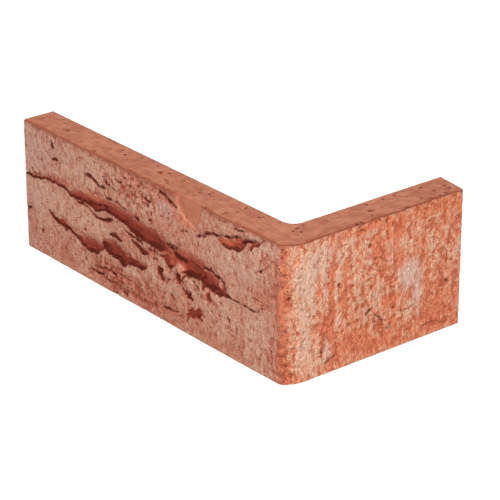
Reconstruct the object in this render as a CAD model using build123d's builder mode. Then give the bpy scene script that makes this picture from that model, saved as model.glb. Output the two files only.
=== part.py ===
"""Corner facing brick: an L-shaped slip of fired clay that turns the outside corner of a wall.

Millimetres, +Z up. It stands on its lower bed face as it is laid, with the origin at the middle of
its bounding box, on the floor. The stretcher leg runs along X and shows its outer face to -Y, and
the header leg runs along Y and shows its outer face to +X.
"""

from build123d import *

import math
import os
from typing import NamedTuple

# The slip
STRETCHER_LENGTH = 210.0  # long leg, from its free end to the header face
HEADER_LENGTH = 110.0  # outer face of the short leg, from the stretcher face to its free end
HEADER_END_LEAN = 2.5  # the header's free end is cut out of square, longer at the back
COURSE_HEIGHT = 71.0
SLIP_THICKNESS = 19.0
CORNER_SETBACK = 4.5  # where the header face bows into the corner, it stops the stretcher short
CORNER_BOW = 11.0  # how far along the header that bow reaches
CORNER_RADIUS = 2.5  # rounding of the edge between the stretcher face and the bow
INNER_RADIUS = 6.5  # left by the saw between the two backs
FACE_ARRIS = 0.9  # rounding of the edges of the moulded outer faces
BACK_ARRIS = 0.5  # bevel of the edges of the cut backs


class Fold(NamedTuple):
    """One cross-section of a fold that hand moulding leaves in the stretcher face."""

    along: float  # from the middle of the face, towards the corner
    lip: float  # height of the lower lip, over the bed
    brow: float  # height where the floor meets the face again
    depth: float  # under the lip; negative where the fold has run out above the face


class Gouge(NamedTuple):
    """A short boat-shaped hollow in the stretcher face."""

    along: float
    height: float
    length: float
    width: float
    depth: float
    lean: float  # degrees from upright, towards the corner


MAIN_FOLD_TAIL = (
    Fold(-110.0, 41.4, 42.8, 0.9),
    Fold(-96.0, 42.8, 44.2, 0.9),
    Fold(-82.0, 44.6, 46.2, 1.1),
    Fold(-68.0, 43.6, 45.8, 1.3),
    Fold(-54.0, 42.4, 45.2, 1.2),
    Fold(-44.0, 43.4, 44.6, -0.3),
)
MAIN_FOLD = (
    Fold(-64.0, 43.4, 44.8, -0.3),
    Fold(-52.0, 42.4, 48.6, 2.0),
    Fold(-38.0, 42.4, 50.6, 2.6),
    Fold(-24.0, 42.6, 51.2, 2.9),
    Fold(-11.0, 40.2, 49.4, 3.3),
    Fold(3.0, 38.6, 47.4, 3.8),
    Fold(16.0, 36.4, 46.2, 3.6),
    Fold(28.0, 33.4, 45.6, 4.0),
    Fold(40.0, 33.4, 44.8, 4.0),
    Fold(51.0, 31.4, 42.6, 3.2),
    Fold(60.0, 31.6, 38.8, 1.8),
    Fold(68.0, 32.2, 33.8, -0.3),
)
UNDER_FOLD = (
    Fold(-16.0, 35.4, 36.8, -0.3),
    Fold(-7.0, 32.0, 36.4, 1.8),
    Fold(1.0, 31.0, 35.6, 1.8),
    Fold(9.0, 32.2, 33.6, -0.3),
)
LOWER_FOLD_TAIL = (
    Fold(-86.0, 26.6, 27.6, -0.3),
    Fold(-78.0, 23.6, 25.2, 1.2),
    Fold(-70.0, 22.4, 26.0, 2.2),
    Fold(-60.0, 20.8, 22.2, -0.3),
)
LOWER_FOLD_LEFT = (
    Fold(-63.0, 20.8, 22.2, -0.3),
    Fold(-55.0, 18.0, 23.6, 2.2),
    Fold(-47.0, 17.0, 26.2, 3.0),
    Fold(-40.0, 18.6, 24.2, 2.2),
    Fold(-34.0, 20.8, 22.2, -0.3),
)
LOWER_FOLD_RIGHT = (
    Fold(-38.0, 23.8, 25.4, -0.3),
    Fold(-33.0, 21.4, 27.4, 3.0),
    Fold(-25.0, 19.6, 29.4, 3.4),
    Fold(-13.0, 20.4, 26.6, 2.8),
    Fold(-5.0, 22.8, 26.2, 1.4),
    Fold(3.0, 24.0, 25.2, -0.3),
)
UPPER_FOLD = (
    Fold(52.0, 59.4, 60.8, -0.3),
    Fold(60.0, 57.2, 62.2, 2.6),
    Fold(67.0, 57.6, 64.6, 3.0),
    Fold(75.0, 61.2, 66.4, 2.6),
    Fold(83.0, 65.2, 67.4, 0.8),
    Fold(88.0, 66.6, 67.8, -0.3),
)
LIP_UNDERCUT = 0.25  # how far the lip's wall leans up over the floor, for each mm of depth
FLOOR_BOW = 0.12  # how far the floor bows into the clay, for each mm of its width

GOUGES = (
    Gouge(11.2, 25.0, 9.5, 3.4, 1.6, -18.0),
    Gouge(24.8, 27.6, 6.5, 3.2, 1.5, -14.0),
    Gouge(31.8, 21.6, 9.0, 3.2, 1.5, 72.0),
    Gouge(47.6, 25.4, 6.5, 3.2, 1.2, 4.0),
    Gouge(37.5, 13.6, 12.0, 4.6, 1.6, 64.0),
    Gouge(-25.2, 32.8, 11.5, 2.4, 1.1, 88.0),
)

# The chip knocked out of the upper arris of the stretcher face, with a floor that slopes inwards
CHIP_OUTLINE = ((22.5, 0.0), (23.0, 5.0), (30.0, 9.4), (37.5, 12.5), (41.5, 7.0), (45.0, 0.0))
CHIP_DEPTH = 3.4  # at the top bed

CUTTER_STANDOFF = 0.8  # how far the cutting shapes stand out of the face

outer_y = -(HEADER_LENGTH + HEADER_END_LEAN) / 2  # the stretcher's outer face


def across_stretcher(along: float) -> Plane:
    """The upright plane across the stretcher leg whose x is height and whose y is outwards."""
    return Plane(origin=(along, outer_y, 0), x_dir=(0, 0, 1), z_dir=(1, 0, 0))


def fold_cutter(folds: tuple[Fold, ...]) -> Part:
    """The hollow of one fold: a steep lip below, and a floor that rises to the face above it."""
    with BuildPart() as hollow:
        for fold in folds:
            lip = (fold.lip, CUTTER_STANDOFF)
            foot = (fold.lip + LIP_UNDERCUT * abs(fold.depth), -fold.depth)
            brow = (fold.brow + CUTTER_STANDOFF, CUTTER_STANDOFF)
            bow = FLOOR_BOW * math.dist(foot, brow)
            floor = ((foot[0] + brow[0]) / 2, (foot[1] + brow[1]) / 2 - bow)
            with BuildSketch(across_stretcher(fold.along)):
                with BuildLine():
                    Polyline(brow, lip, foot)
                    ThreePointArc(foot, floor, brow)
                make_face()
        loft()
    return hollow.part


def gouge_cutter(gouge: Gouge) -> Part:
    """A spindle turned about an axis outside the face, so that only its belly cuts the clay."""
    belly_radius = (gouge.width**2 / 4 + gouge.depth**2) / (2 * gouge.depth)
    axis_standoff = belly_radius - gouge.depth
    half_length = gouge.length / 2 * belly_radius / math.sqrt(belly_radius**2 - axis_standoff**2)
    lean = math.radians(gouge.lean)
    spindle_plane = Plane(
        origin=(gouge.along, outer_y - axis_standoff, gouge.height),
        x_dir=(math.sin(lean), 0, math.cos(lean)),
        z_dir=(0, -1, 0),
    )
    with BuildPart() as spindle:
        with BuildSketch(spindle_plane):
            with BuildLine():
                ThreePointArc((-half_length, 0), (0, belly_radius), (half_length, 0))
                Line((half_length, 0), (-half_length, 0))
            make_face()
        revolve(axis=Axis(spindle_plane.origin, spindle_plane.x_dir))
    return spindle.part


def chip_cutter() -> Part:
    """The chip: its outline on the face, kept to the wedge over its sloping floor."""
    outline = [(along, COURSE_HEIGHT - drop) for along, drop in CHIP_OUTLINE]
    first, last = outline[0][0], outline[-1][0]
    over_bed = COURSE_HEIGHT + CUTTER_STANDOFF
    tip = min(height for _, height in outline)
    floor_depth = CHIP_DEPTH * (over_bed - tip) / (COURSE_HEIGHT - tip)
    face = Plane(origin=(0, outer_y - CUTTER_STANDOFF, 0), x_dir=(1, 0, 0), z_dir=(0, -1, 0))
    with BuildPart() as chip:
        with BuildSketch(face):
            Polygon(*outline, (last, over_bed), (first, over_bed), align=None)
        extrude(amount=-(CUTTER_STANDOFF + 2 * CHIP_DEPTH))
        with BuildSketch(across_stretcher(first)):
            Polygon(
                (tip, CUTTER_STANDOFF),
                (tip, 0),
                (over_bed, -floor_depth),
                (over_bed, CUTTER_STANDOFF),
                align=None,
            )
        extrude(amount=last - first, mode=Mode.INTERSECT)
    return chip.part


fold_hollows = [
    fold_cutter(folds)
    for folds in (
        MAIN_FOLD_TAIL,
        MAIN_FOLD,
        UNDER_FOLD,
        LOWER_FOLD_TAIL,
        LOWER_FOLD_LEFT,
        LOWER_FOLD_RIGHT,
        UPPER_FOLD,
    )
]
gouge_hollows = [gouge_cutter(gouge) for gouge in GOUGES]
arris_chip = chip_cutter()

end_x, outer_x = -STRETCHER_LENGTH / 2, STRETCHER_LENGTH / 2
back_x, back_y = outer_x - SLIP_THICKNESS, outer_y + SLIP_THICKNESS
front_end_y, back_end_y = outer_y + HEADER_LENGTH, -outer_y
edge_x, bow_y = outer_x - CORNER_SETBACK, outer_y + CORNER_BOW
mid_height = COURSE_HEIGHT / 2

with BuildPart() as corner_brick:
    with BuildSketch():
        with BuildLine():
            Polyline(
                (edge_x, outer_y),
                (end_x, outer_y),
                (end_x, back_y),
                (back_x, back_y),
                (back_x, back_end_y),
                (outer_x, front_end_y),
                (outer_x, bow_y),
            )
            TangentArc((outer_x, bow_y), (edge_x, outer_y), tangent=(0, -1))
        make_face()
    extrude(amount=COURSE_HEIGHT)

    upright = corner_brick.edges().filter_by(Axis.Z)
    fillet(upright.sort_by_distance((edge_x, outer_y, mid_height))[0], CORNER_RADIUS)
    upright = corner_brick.edges().filter_by(Axis.Z)
    fillet(upright.sort_by_distance((back_x, back_y, mid_height))[0], INNER_RADIUS)

    # Around each bed the four edges nearest the outer corner bound the moulded faces
    lower_bed, upper_bed = corner_brick.faces().filter_by(Plane.XY).sort_by(Axis.Z)
    moulded_edges = ShapeList(
        [
            *lower_bed.edges().sort_by_distance((outer_x, outer_y, 0))[:4],
            *upper_bed.edges().sort_by_distance((outer_x, outer_y, COURSE_HEIGHT))[:4],
            corner_brick.edges().sort_by_distance((end_x, outer_y, mid_height))[0],
            corner_brick.edges().sort_by_distance((outer_x, front_end_y, mid_height))[0],
        ]
    )
    fillet(moulded_edges, FACE_ARRIS)

    lower_bed, upper_bed = corner_brick.faces().filter_by(Plane.XY).sort_by(Axis.Z)
    cut_edges = ShapeList(
        [
            *lower_bed.edges().sort_by_distance((back_x, back_y, 0))[:3],
            *upper_bed.edges().sort_by_distance((back_x, back_y, COURSE_HEIGHT))[:3],
        ]
    )
    chamfer(cut_edges, BACK_ARRIS)

    for hollow in (*fold_hollows, *gouge_hollows, arris_chip):
        add(hollow, mode=Mode.SUBTRACT)

corner_brick.part.label = "corner_brick"

os.makedirs("parts", exist_ok=True)
export_step(corner_brick.part, "parts/corner_brick.step")
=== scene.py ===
"""Corner facing brick: the visual model, its sanded clay skin and the studio it stands in.

Metres, +Z up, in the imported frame. Sizes of the relief are in millimetres, as a brickmaker gives
them, and are turned into metres when the mesh is written.
"""

import logging
import math
from dataclasses import dataclass, field
from enum import Enum
from typing import Any

import bpy
import numpy as np
from mathutils import Matrix, Vector

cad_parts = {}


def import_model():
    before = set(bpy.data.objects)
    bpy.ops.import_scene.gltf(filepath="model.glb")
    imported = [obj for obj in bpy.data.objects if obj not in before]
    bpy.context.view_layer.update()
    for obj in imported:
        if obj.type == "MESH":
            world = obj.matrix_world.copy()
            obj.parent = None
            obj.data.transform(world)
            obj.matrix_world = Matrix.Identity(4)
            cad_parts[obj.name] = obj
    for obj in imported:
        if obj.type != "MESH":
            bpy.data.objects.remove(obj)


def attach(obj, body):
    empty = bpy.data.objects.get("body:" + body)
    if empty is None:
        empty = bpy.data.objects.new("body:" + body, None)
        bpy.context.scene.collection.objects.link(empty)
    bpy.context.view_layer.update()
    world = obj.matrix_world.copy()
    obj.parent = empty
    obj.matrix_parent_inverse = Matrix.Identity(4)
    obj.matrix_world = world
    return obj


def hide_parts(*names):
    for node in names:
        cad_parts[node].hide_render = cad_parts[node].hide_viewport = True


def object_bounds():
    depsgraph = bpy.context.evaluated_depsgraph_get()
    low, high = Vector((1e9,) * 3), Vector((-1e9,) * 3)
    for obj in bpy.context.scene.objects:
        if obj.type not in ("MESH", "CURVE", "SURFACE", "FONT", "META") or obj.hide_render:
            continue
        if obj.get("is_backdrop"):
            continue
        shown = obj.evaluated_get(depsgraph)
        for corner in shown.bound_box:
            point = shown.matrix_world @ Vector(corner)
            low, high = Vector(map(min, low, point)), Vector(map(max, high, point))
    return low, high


MM = 0.001
NODE = "corner_brick"

Array = np.ndarray
Colour = tuple[float, float, float, float]
Grain = tuple[float, float, float]


def paint(red: int, green: int, blue: int) -> Colour:
    """A colour as the eye reads it, 0 to 255, turned into Blender's linear values."""
    linear = [((value / 255 + 0.055) / 1.055) ** 2.4 for value in (red, green, blue)]
    return (linear[0], linear[1], linear[2], 1)


def unit(value: Array) -> Array:
    """Hold a value between 0 and 1."""
    return np.clip(value, 0, 1)


def smooth_step(value: Array) -> Array:
    """An ease from 0 to 1 over the unit range, flat outside it."""
    held = unit(value)
    return held * held * (3 - 2 * held)


def even_steps(start: float, end: float, step: float) -> Array:
    """Even steps from start towards end, which belongs to the next run."""
    count = max(1, round(abs(end - start) / step))
    return np.linspace(start, end, count, endpoint=False)


@dataclass(frozen=True)
class Texture:
    """One noise in the clay: the size of a lump along x, y and z, its layers and its own place."""

    grain: Grain
    layers: int = 1
    shift: float = 0


class ClayNoise:
    """Smooth seeded noise in space, for relief that is built into the mesh."""

    CELLS = 64
    LAYER_SHIFT = 17.3
    LAYER_RATIO = 2.03

    def __init__(self, seed: int) -> None:
        """Fill the lattice that the noise is read from.

        Args:
            seed: number that fixes the noise, so that each run gives the same brick.
        """
        random = np.random.default_rng(seed)
        self.lattice = random.uniform(-1, 1, (self.CELLS,) * 3)

    def _single(self, points: Array, grain: Array) -> Array:
        """Read one layer of the noise.

        Args:
            points: places in millimetres, with x, y and z along the last axis.
            grain: size of a lump along x, y and z, in millimetres.

        Returns:
            Values from about -1 to 1, one for each point.
        """
        scaled = points / grain
        cell = np.floor(scaled).astype(int)
        part = scaled - cell
        ease = part * part * part * (part * (part * 6 - 15) + 10)
        total = np.zeros(points.shape[:-1])
        for corner in np.ndindex(2, 2, 2):
            weight = np.ones(points.shape[:-1])
            for axis in range(3):
                along = ease[..., axis]
                weight = weight * (along if corner[axis] else 1 - along)
            index = (cell + np.array(corner)) % self.CELLS
            total += weight * self.lattice[index[..., 0], index[..., 1], index[..., 2]]
        return total

    def at(self, points: Array, texture: Texture) -> Array:
        """Add up finer and fainter copies of the noise, each half as large and half as strong.

        Args:
            points: places in millimetres.
            texture: the noise that is read.

        Returns:
            Values from about -1 to 1, one for each point.
        """
        total = np.zeros(points.shape[:-1])
        strength, size = 1, np.array(texture.grain)
        for layer in range(texture.layers):
            place = points + texture.shift + self.LAYER_SHIFT * layer
            total += strength * self._single(place, size)
            strength, size = strength / 2, size / self.LAYER_RATIO
        return total


@dataclass
class Relief:
    """A face with its marks: how far the clay stands out, how bare it is, and how much painted
    shade darkens it.
    """

    along: Array
    height: Array
    ragged: Array
    broken: Array
    out: Array = field(init=False)
    fold: Array = field(init=False)
    painted_shade: Array = field(init=False)

    def __post_init__(self) -> None:
        """Start from an untouched face."""
        self.out = np.zeros(self.along.shape)
        self.fold = np.zeros(self.along.shape)
        self.painted_shade = np.zeros(self.along.shape)

    def cut(self, depth: Array, fold: Array, painted_shade: Array) -> None:
        """Cut to a depth, where that is deeper than what is there.

        Args:
            depth: how far into the clay, in millimetres.
            fold: how much bare red clay shows, 0 to 1.
            painted_shade: how much painted shade darkens the place, as in a slit or under a fold's
                lip, 0 to 1.
        """
        self.out = np.minimum(self.out, -depth) + 0.25 * np.maximum(self.out, -depth)
        self.fold = np.maximum(self.fold, fold)
        self.painted_shade = np.maximum(self.painted_shade, painted_shade)


@dataclass(frozen=True)
class Fold:
    """A fold in hand-moulded clay: a steep lower lip under a floor that rises to the face, with
    painted shade along the lip.

    Each section is (along, lip height, brow height, depth) in millimetres.
    """

    sections: tuple[tuple[float, float, float, float], ...]
    lip_raise: float = 0.4
    lip_roll: float = 1.1
    floor_power: float = 1.15
    # shade: how strong the painted shade along the lip is
    shade: float = 1
    brow_ragged: float = 1.5
    brow_broken: float = 1.2
    least_rise: float = 0.4
    wall: float = 0.8
    bare_wall: float = 0.6
    slit_below: float = 0.45
    slit_above: float = 0.56

    def press(self, face: Relief) -> None:
        """Press the fold into a face.

        Args:
            face: the face so far, which is changed.
        """
        places, lips, brows, depths = np.array(self.sections).T
        lip = np.interp(face.along, places, lips) + face.ragged
        brow = np.interp(face.along, places, brows)
        brow = brow + self.brow_ragged * face.ragged + self.brow_broken * face.broken
        depth = np.interp(face.along, places, depths, left=0, right=0)
        over_lip = face.height - lip
        rise = over_lip / np.maximum(brow - lip, self.least_rise)
        wall = smooth_step((over_lip + 0.5 * self.wall) / self.wall)
        tone = smooth_step((over_lip + self.bare_wall) / self.bare_wall)
        tone = tone * smooth_step((depth - 0.4) / 1.5)
        floor = unit(1 - rise) ** self.floor_power
        roll = np.where(over_lip < 0, np.exp(-((over_lip / self.lip_roll) ** 2)), 0)
        face.out += self.lip_raise * roll * unit(depth / 2)
        bare = tone * unit(1.1 - rise) ** np.clip(3.2 - 0.6 * depth, 1, 2)
        # Painted shade: a dark line along the lip that fades up the floor.
        over_slit = over_lip + 0.1 + 0.03 * depth
        reach = np.where(over_slit < 0, self.slit_below, self.slit_above)
        lip_shade = np.exp(-((over_slit / reach) ** 2)) * unit(depth / 0.9)
        lip_shade = unit(lip_shade * (1.3 + 0.6 * face.broken))
        face.cut(depth * wall * floor, bare, self.shade * lip_shade)


@dataclass(frozen=True)
class Crack:
    """A narrow split that follows a few points, each (along, height) in millimetres, darkened with
    painted shade.
    """

    points: tuple[tuple[float, float], ...]
    width: float
    depth: float
    waver: float = 0.8
    blunt_end: float = 0.45
    stain: float = 0.25
    stain_width: float = 1.2
    darkest: float = 0.92

    def press(self, face: Relief) -> None:
        """Open the split in a face, with painted shade along it.

        Args:
            face: the face so far, which is changed.
        """
        nearest = np.full(face.along.shape, 1e6)
        place = np.zeros(face.along.shape)
        runs = len(self.points) - 1
        level = face.height + self.waver * face.ragged
        for number, (start, end) in enumerate(zip(self.points, self.points[1:])):
            run, climb = end[0] - start[0], end[1] - start[1]
            from_x, from_y = face.along - start[0], level - start[1]
            share = unit((from_x * run + from_y * climb) / (run**2 + climb**2))
            away = np.hypot(from_x - share * run, from_y - share * climb)
            place = np.where(away < nearest, (number + share) / runs, place)
            nearest = np.minimum(nearest, away)
        taper = unit(4 * np.minimum(place, 1 - place) + self.blunt_end)
        taper = taper * np.clip(1.1 + 0.9 * face.broken, 0.4, 1.2)
        slit = unit(1.3 * np.exp(-((nearest / (0.5 * self.width)) ** 2))) * taper
        stain = np.exp(-((nearest / (self.stain_width * self.width)) ** 2)) * taper
        # Painted shade in the split, darker the deeper it is.
        dark = min(self.darkest, 0.3 + self.depth / 2.2)
        face.cut(0.6 * self.depth * slit, self.stain * stain, slit * dark)


@dataclass(frozen=True)
class Gouge:
    """A boat-shaped hollow between two points, each (along, height) in millimetres, with painted
    shade darkest on one side.
    """

    start: tuple[float, float]
    end: tuple[float, float]
    width: float
    depth: float
    waver: tuple[float, float] = (1.3, 1.6)
    least_half: float = 0.05

    def press(self, face: Relief) -> None:
        """Scoop the gouge out of a face.

        Args:
            face: the face so far, which is changed.
        """
        run, climb = self.end[0] - self.start[0], self.end[1] - self.start[1]
        length = math.hypot(run, climb)
        from_x = face.along - self.start[0] + self.waver[0] * face.ragged
        from_y = face.height - self.start[1] + self.waver[1] * face.ragged
        share = (from_x * run + from_y * climb) / length**2
        aside = (from_x * climb - from_y * run) / length
        half = 0.5 * self.width * np.clip(1 - (2 * share - 1) ** 2, 0, None) ** 0.7
        half = half * np.clip(1 + 0.5 * face.broken, 0.5, 1.3)
        within = half > self.least_half
        off = np.abs(aside) / np.maximum(half, self.least_half)
        hollow = unit(1 - off**2) ** 0.6 * within
        tone = smooth_step(2.1 - 1.6 * off) * within
        # Painted shade in the gouge, darker on one side and the deeper it is.
        shade = unit(0.55 + aside / self.width) * unit(self.depth / 2.2)
        face.cut(self.depth * hollow, tone, tone * (0.1 + 0.85 * shade))


@dataclass(frozen=True)
class Lump:
    """A soft bump of clay, or with a negative rise a dent, which dark fills with painted shade; a
    clean one hides the fold under it.
    """

    along: float
    height: float
    half_length: float
    half_height: float
    rise: float
    clean: float = 0
    dark: float = 0

    def press(self, face: Relief) -> None:
        """Push the clay out round one place.

        Args:
            face: the face so far, which is changed.
        """
        away = ((face.along - self.along + face.ragged) / self.half_length) ** 2
        away = away + ((face.height - self.height + face.ragged) / self.half_height) ** 2
        near = np.exp(-away)
        bared = 1 - unit(1.6 * self.clean * near)
        face.out += self.rise * near
        face.fold *= bared
        face.painted_shade *= bared
        # Painted shade in the dent.
        face.painted_shade = np.maximum(face.painted_shade, self.dark * near)


@dataclass(frozen=True)
class Crumbling:
    """Small pits strewn over a part of a face, where crumbs of clay have come away, each darkened
    with painted shade.
    """

    seed: int
    count: int
    middle: tuple[float, float]
    half_size: tuple[float, float]
    pit: tuple[float, float]
    depth: float
    dark: float

    def press(self, face: Relief) -> None:
        """Press the pits into a face.

        Args:
            face: the face so far, which is changed.
        """
        random = np.random.default_rng(self.seed)
        for _ in range(self.count):
            aside, over = random.uniform(-1, 1, 2) * self.half_size
            length, height = random.uniform(0.6, 1.4, 2) * self.pit
            strength = random.uniform(0.4, 1)
            Lump(
                self.middle[0] + aside,
                self.middle[1] + over,
                length,
                height,
                -self.depth * strength,
                dark=self.dark * strength,
            ).press(face)


@dataclass(frozen=True)
class Chip:
    """A flake knocked off the upper arris, down to a flat floor that slopes inwards."""

    corners: tuple[tuple[float, float], ...]
    depth: float

    def press(self, face: Relief, top: float) -> Array:
        """Take the flake off a face.

        Args:
            face: the face so far, which is changed.
            top: height of the upper bed.

        Returns:
            How far each point lies on the flat floor, 0 to 1.
        """
        places, drops = np.array(self.corners).T
        edge = top - np.interp(face.along, places, drops, left=0, right=0)
        tip = top - max(drops)
        slope = unit((face.height - tip) / (top - tip))
        within = smooth_step((face.height - edge) / 0.8 + 0.5) * (edge < top - 0.01)
        face.out = face.out * (1 - within) - self.depth * (0.2 + 0.8 * slope) * within
        face.fold = face.fold * (1 - within)
        face.painted_shade = face.painted_shade * (1 - within)
        return within


@dataclass(frozen=True)
class Patch:
    """A soft oval place on a face that has more of something, or with a negative amount less."""

    along: float
    height: float
    half_length: float
    half_height: float
    amount: float = 1

    def spread(self, along: Array, height: Array) -> Array:
        """How much the patch gives at each point."""
        away = ((along - self.along) / self.half_length) ** 2
        return self.amount * np.exp(-away - ((height - self.height) / self.half_height) ** 2)


def total_of(patches: tuple[Patch, ...], along: Array, height: Array) -> Array:
    """Add up patches at each point of a face."""
    return sum((patch.spread(along, height) for patch in patches), np.zeros(along.shape))


def each(kind: type, *rows: tuple[Any, ...]) -> tuple[Any, ...]:
    """Make one mark or patch of a kind from each row of its fields."""
    return tuple(kind(*row) for row in rows)


def cracks(*rows: tuple[float, ...]) -> tuple[Crack, ...]:
    """Make one Crack from each row: its width and depth, then along and height of each point."""
    return tuple(Crack(tuple(zip(row[2::2], row[3::2])), row[0], row[1]) for row in rows)


# The stretcher face: along from its free end, height over the bed
STRETCHER_FOLDS: tuple[Fold, ...] = (
    Fold((
        (-1, 41.8, 43, 0.9), (4, 42.5, 43.8, 0.9), (7, 41.7, 43.4, 1.2), (12, 42.8, 45, 1),
        (15, 43.3, 47, 1), (20, 44.3, 47.8, 1.1), (25, 44.9, 48.8, 1.2), (30, 44.3, 49, 1.1),
        (35, 44.3, 47.6, 1.1), (38, 43.8, 46.8, 1.2), (40, 42.3, 46.8, 1.5), (46, 42.2, 48.8, 1.7),
        (50, 42.8, 49.8, 1.9), (56, 42.4, 50, 2.1), (60, 41.4, 50.4, 2.4), (62, 40.2, 51, 2.6),
        (66, 42, 51.6, 2.5), (70, 43.4, 52.4, 2.4), (75, 43.4, 52.4, 2.4), (80, 43, 52.2, 2.5),
        (85, 42.4, 51.6, 2.7), (90, 41.2, 51, 3), (95, 39.6, 50.4, 3.3), (100, 38.8, 49.4, 3.6),
        (104, 38.8, 48.8, 3.8), (108, 38, 48.2, 4), (112, 38.4, 47.8, 4), (116, 37.4, 48, 3.5),
        (118.5, 34.6, 48, 3), (121, 31.8, 47.6, 2.6), (125, 31.4, 47.2, 2.6),
        (128.5, 33, 46.8, 3.2), (133, 32.4, 46.2, 3.7), (137, 32.8, 46.2, 4), (142, 33, 46.2, 4.2),
        (147, 33.4, 45.8, 3.8), (149.5, 31, 46, 3.2), (153, 31.8, 45.6, 2.8), (156, 30.6, 45, 2.6),
        (160, 30.4, 43.2, 2.4), (163, 31.2, 40, 1.9), (165, 31.8, 36, 1.3), (168, 31.8, 33.2, 0.8),
        (176, 32, 33.2, 0.7), (178.5, 32, 32.8, 0.3), (181, 32.4, 33.5, 0.7), (188, 32, 33.2, 0.7),
        (190, 32, 32.8, 0.2),
    )),
    Fold((
        (20, 27.9, 28.6, 0.7), (22, 26.2, 27.6, 1.3), (25, 24.6, 26.6, 1.6), (29, 23.2, 27.4, 2.1),
        (33, 22.9, 28, 2.4), (35.5, 22.4, 27.4, 2.3), (38, 22.9, 24.6, 1.8), (41, 22.1, 23.4, 1),
        (44, 21.3, 23, 1), (47, 20.1, 23.6, 1.6), (50, 18.4, 25, 2.3), (53, 17.6, 26.6, 2.8),
        (58, 17, 27.8, 3.2), (61, 17.2, 27.4, 2.8), (63, 18.4, 26.8, 2.4), (66, 20.4, 25.8, 1.6),
        (69.5, 23.2, 25.4, 0.8),
    )),
    Fold((
        (66, 25, 28.8, 0.8), (68.5, 23.2, 29.2, 2.4), (70.5, 21.6, 29.4, 3.5),
        (74, 21.2, 30.4, 3.5), (76.5, 21, 31.8, 3.6), (80, 20.6, 30.6, 3.6), (84, 19, 29.4, 3.4),
        (86, 19.6, 28.8, 3.3), (89, 21, 28.2, 3.1), (93, 21.6, 27.6, 2.7), (97, 22.2, 27.8, 2.2),
        (100, 22, 27.4, 1.8), (103, 23.4, 27.2, 1.4), (105.5, 25.6, 26.8, 0.6),
    )),
    Fold((
        (73, 31.9, 32.8, 0.8), (75.5, 31.8, 33.6, 1.5), (77.5, 32.2, 34.4, 1.7),
        (80, 31.8, 33.2, 1.4), (83, 31.4, 33.2, 1.4), (84.5, 31.8, 32.6, 0.5),
    )),
    Fold(
        (
            (92, 35.4, 36, 0.6), (93.5, 34.8, 35.8, 1.2), (96.5, 33.5, 35.8, 1.8),
            (98.5, 32.2, 35.8, 2.2), (100.5, 31.5, 35.8, 2.2), (103, 31.3, 35.4, 2),
            (104.8, 31.6, 34.6, 1.2), (106.2, 32.4, 33.4, 0.4),
        ),
        lip_raise=0.7,
    ),
    Fold(
        (
            (160.5, 59.2, 60.4, 0.6), (163, 57.8, 62.2, 1.6), (166, 57.2, 62.4, 2.2),
            (169, 57.2, 63, 2.8), (172, 57.8, 64.6, 3), (175, 57.8, 66.2, 3), (177, 59, 66.6, 3),
            (180, 61.6, 67, 2.6), (182.5, 63, 67, 2.3), (184.5, 62, 67.4, 2.6),
            (188, 65.2, 68.6, 2), (192, 68, 69.8, 1), (195, 69.2, 70.2, 0.4),
        ),
        floor_power=0.6,
        shade=0.8,
    ),
)
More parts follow.
